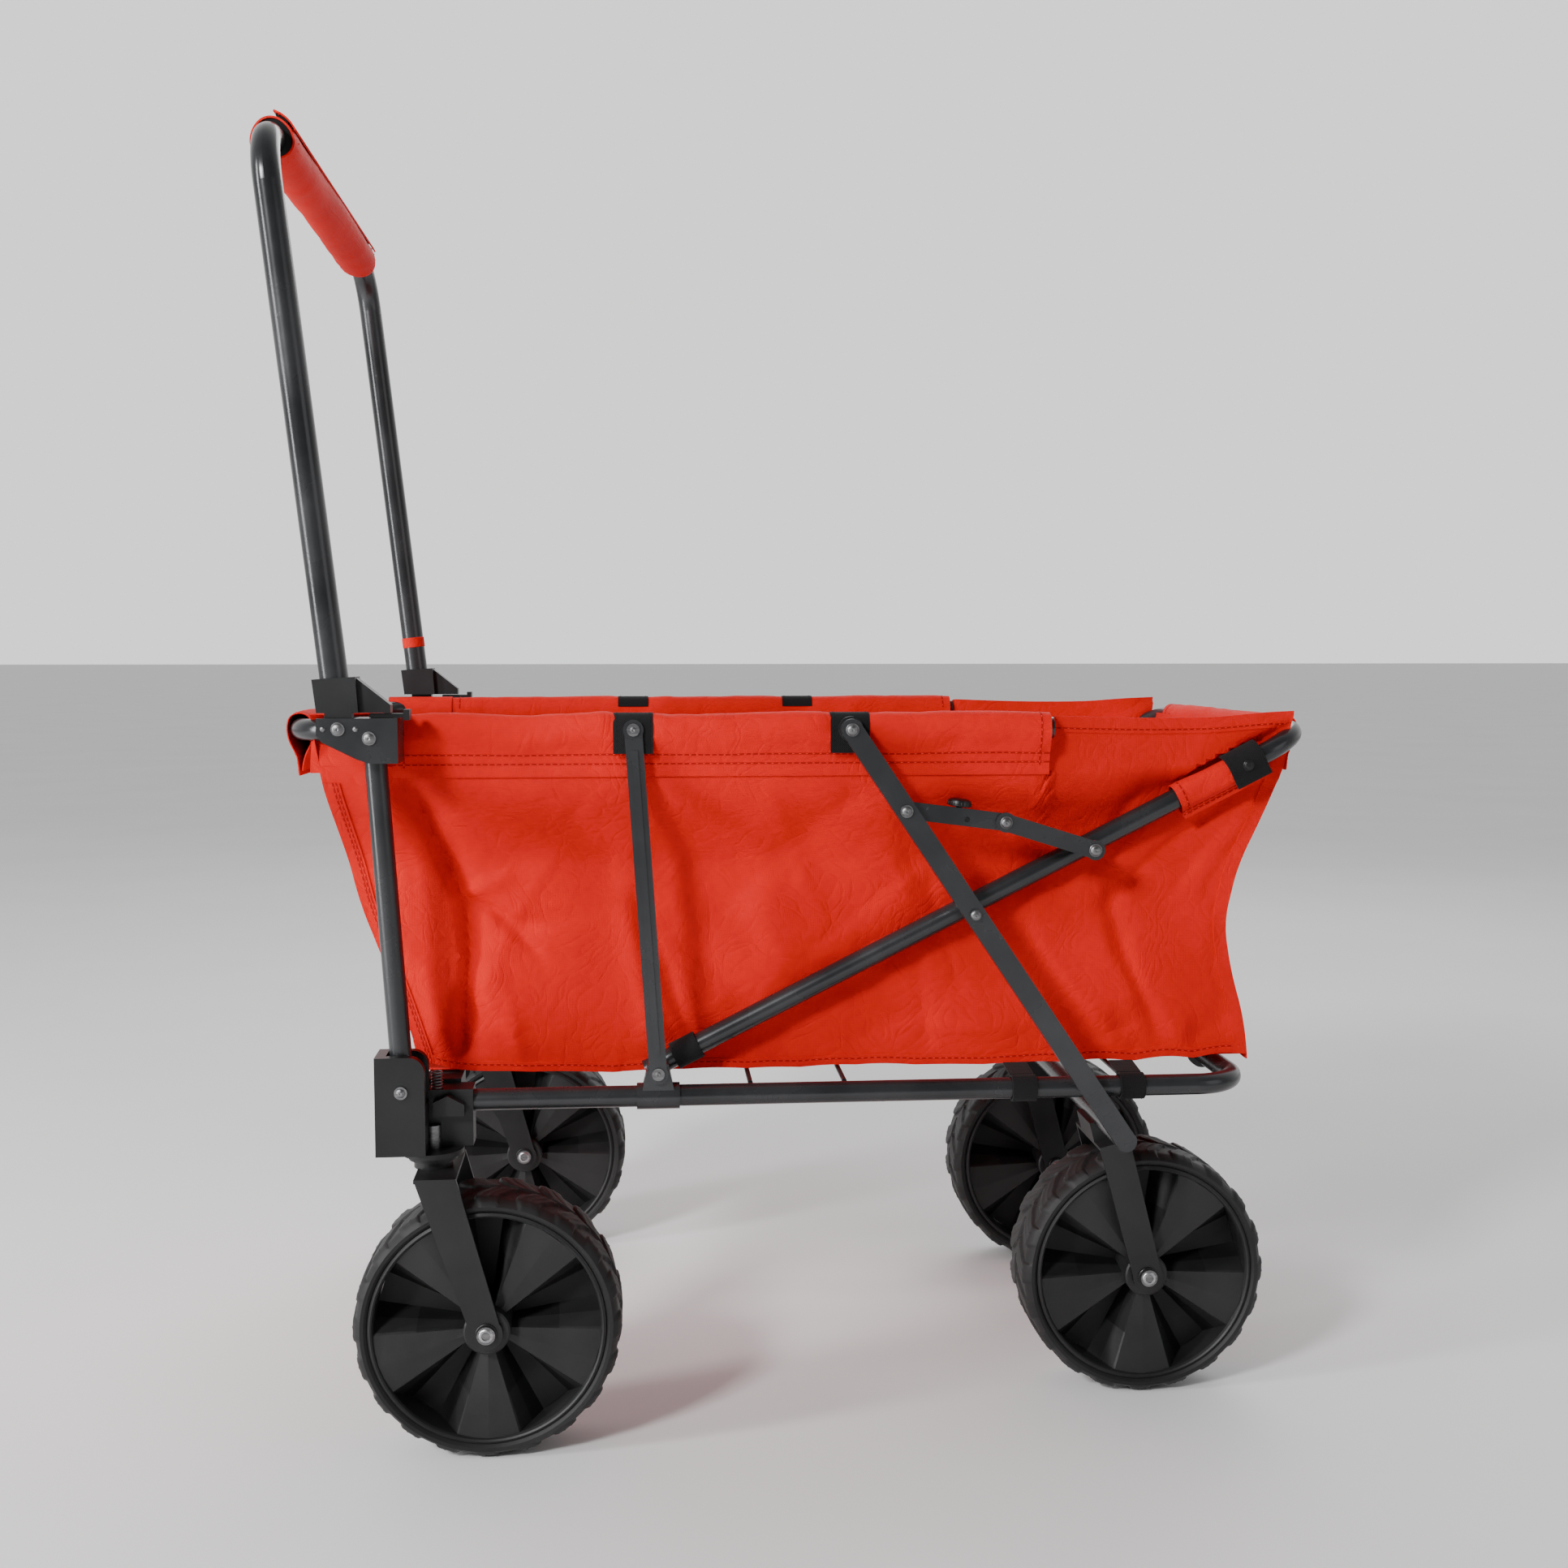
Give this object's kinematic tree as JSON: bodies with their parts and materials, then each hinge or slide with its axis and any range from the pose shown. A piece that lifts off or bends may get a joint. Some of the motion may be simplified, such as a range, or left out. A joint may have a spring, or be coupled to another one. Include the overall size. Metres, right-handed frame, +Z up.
{
  "type": "folding camp wagon",
  "caption": "Folding wagon with a steel tube frame, fabric basket, swivel front wheels, fixed rear wheels and a tilting handle.",
  "frame": {"origin": "on the ground, under the middle of the bounding box", "axes": "+X toward the rear of the wagon, away from the handle; +Y to the right when facing the handle end; +Z up"},
  "size_m": [0.847, 0.566, 1.0327],
  "materials": {
    "frame_tube": "satin dark grey powder coat on steel tube",
    "steel": "zinc plated steel rivets and bolts",
    "dark_steel": "black powder coated steel plate",
    "black_plastic": "moulded black nylon with a fine grain",
    "wheel_plastic": "moulded black polypropylene wheel",
    "tyre": "black moulded tread",
    "red_fabric": "coated red polyester, plain weave, stitched",
    "wire": "black coated steel wire"
  },
  "bodies": {
    "root": {"base_frame": "frame_tube", "front_crossbar": "frame_tube", "corner_block_left": "black_plastic", "corner_block_right": "black_plastic", "floor_wires": "wire", "rail_saddles": "frame_tube", "caster_seats": "black_plastic", "caster_kingpins": "steel", "post_foot_pins": "steel", "strut_foot_pins": "steel", "basket": "red_fabric", "latch_springs": "steel"},
    "posts": {"post_left": "frame_tube", "post_right": "frame_tube"},
    "mid_struts": {"strut_left": "frame_tube", "strut_right": "frame_tube"},
    "top_frame": {"top_rail": "frame_tube", "bracket_left": "frame_tube", "bracket_right": "frame_tube", "post_top_pins": "steel", "strut_top_pins": "steel", "leg_spacers": "black_plastic", "leg_top_pins": "steel", "handle_pins": "steel"},
    "hoop": {"rear_hoop": "frame_tube", "hoop_bosses": "frame_tube"},
    "legs": {"leg_left": "frame_tube", "leg_right": "frame_tube", "rear_axle_tube": "frame_tube", "rear_fork_left": "dark_steel", "rear_fork_right": "dark_steel", "rear_axle_bolts": "steel"},
    "stay_front": {"stay_front_left": "frame_tube", "stay_front_right": "frame_tube", "stay_pins": "steel"},
    "stay_button_left": {"stay_button_left": "black_plastic"},
    "stay_button_right": {"stay_button_right": "black_plastic"},
    "stay_rear": {"stay_rear_left": "frame_tube", "stay_rear_right": "frame_tube"},
    "rear_wheel_left": {"rear_tyre_left": "tyre", "rear_rim_left": "wheel_plastic"},
    "rear_wheel_right": {"rear_tyre_right": "tyre", "rear_rim_right": "wheel_plastic"},
    "caster_left": {"front_fork_left": "dark_steel", "front_axle_left": "steel"},
    "caster_right": {"front_fork_right": "dark_steel", "front_axle_right": "steel"},
    "front_wheel_left": {"front_tyre_left": "tyre", "front_rim_left": "wheel_plastic"},
    "front_wheel_right": {"front_tyre_right": "tyre", "front_rim_right": "wheel_plastic"},
    "handle": {"handle_tube": "frame_tube", "handle_grip": "red_fabric", "handle_socket_left": "black_plastic", "handle_socket_right": "black_plastic"},
    "release_lever_left": {"release_lever_left": "black_plastic"},
    "release_lever_right": {"release_lever_right": "black_plastic"},
    "rail_latch_left": {"rail_latch_left": "black_plastic"},
    "rail_latch_right": {"rail_latch_right": "black_plastic"}
  },
  "joints": [
    {"name": "fold", "type": "hinge", "parent": "root", "child": "posts", "pos_m": [-0.31405, 0, 0.29], "axis": [0, 1, 0], "range_deg": [0, 76], "deforming": ["basket"]},
    {"name": "mid_strut_fold", "type": "hinge", "parent": "root", "child": "mid_struts", "pos_m": [-0.11705, 0, 0.294], "axis": [0, 1, 0], "range_deg": [0, 76]},
    {"name": "top_level", "type": "hinge", "parent": "posts", "child": "top_frame", "pos_m": [-0.33205, 0, 0.562], "axis": [0, 1, 0], "range_deg": [-76, 0]},
    {"name": "hoop_fold", "type": "hinge", "parent": "root", "child": "hoop", "pos_m": [-0.11705, 0, 0.294], "axis": [0, 1, 0], "range_deg": [0, 26.34]},
    {"name": "leg_fold", "type": "hinge", "parent": "top_frame", "child": "legs", "pos_m": [0.03495, 0, 0.566], "axis": [0, 1, 0], "range_deg": [0, 96.34]},
    {"name": "stay_front_fold", "type": "hinge", "parent": "legs", "child": "stay_front", "pos_m": [0.07785, 0, 0.50206], "axis": [0, 1, 0], "range_deg": [-112.83, 0]},
    {"name": "stay_rear_fold", "type": "hinge", "parent": "stay_front", "child": "stay_rear", "pos_m": [0.15917, 0, 0.49141], "axis": [0, 1, 0], "range_deg": [0, 133.35]},
    {"name": "handle_tilt", "type": "hinge", "parent": "top_frame", "child": "handle", "pos_m": [-0.35505, 0, 0.569], "axis": [0, -1, 0], "range_deg": [0, 58]},
    {"name": "caster_swivel_left", "type": "hinge", "parent": "root", "child": "caster_left", "pos_m": [-0.29305, -0.238, 0.2], "axis": [0, 0, 1], "continuous": true},
    {"name": "front_wheel_spin_left", "type": "hinge", "parent": "caster_left", "child": "front_wheel_left", "pos_m": [-0.25055, -0.238, 0.104], "axis": [0, 1, 0], "continuous": true},
    {"name": "rear_wheel_spin_left", "type": "hinge", "parent": "legs", "child": "rear_wheel_left", "pos_m": [0.29167, -0.16, 0.104], "axis": [0, 1, 0], "continuous": true},
    {"name": "stay_button_pull_left", "type": "slide", "parent": "stay_front", "child": "stay_button_left", "axis": [0.2124, 0, 0.9772], "range_m": [0, 0.003], "stiffness_N_per_m": 300},
    {"name": "release_lever_pull_left", "type": "slide", "parent": "top_frame", "child": "release_lever_left", "axis": [1, 0, 0], "range_m": [0, 0.005], "stiffness_N_per_m": 300},
    {"name": "rail_latch_lift_left", "type": "slide", "parent": "root", "child": "rail_latch_left", "axis": [0, 0, 1], "range_m": [0, 0.003], "stiffness_N_per_m": 300},
    {"name": "caster_swivel_right", "type": "hinge", "parent": "root", "child": "caster_right", "pos_m": [-0.29305, 0.238, 0.2], "axis": [0, 0, 1], "continuous": true},
    {"name": "front_wheel_spin_right", "type": "hinge", "parent": "caster_right", "child": "front_wheel_right", "pos_m": [-0.25055, 0.238, 0.104], "axis": [0, 1, 0], "continuous": true},
    {"name": "rear_wheel_spin_right", "type": "hinge", "parent": "legs", "child": "rear_wheel_right", "pos_m": [0.29167, 0.16, 0.104], "axis": [0, 1, 0], "continuous": true},
    {"name": "stay_button_pull_right", "type": "slide", "parent": "stay_front", "child": "stay_button_right", "axis": [0.2124, 0, 0.9772], "range_m": [0, 0.003], "stiffness_N_per_m": 300},
    {"name": "release_lever_pull_right", "type": "slide", "parent": "top_frame", "child": "release_lever_right", "axis": [1, 0, 0], "range_m": [0, 0.005], "stiffness_N_per_m": 300},
    {"name": "rail_latch_lift_right", "type": "slide", "parent": "root", "child": "rail_latch_right", "axis": [0, 0, 1], "range_m": [0, 0.003], "stiffness_N_per_m": 300}
  ],
  "couplings": [
    {"joint": "mid_strut_fold", "follows": "fold", "ratio": 1},
    {"joint": "top_level", "follows": "fold", "ratio": -1},
    {"joint": "hoop_fold", "follows": "fold", "ratio": 0.34},
    {"joint": "leg_fold", "follows": "fold", "ratio": 1.261},
    {"joint": "stay_front_fold", "follows": "fold", "ratio": -1.478},
    {"joint": "stay_rear_fold", "follows": "fold", "ratio": 1.748}
  ]
}
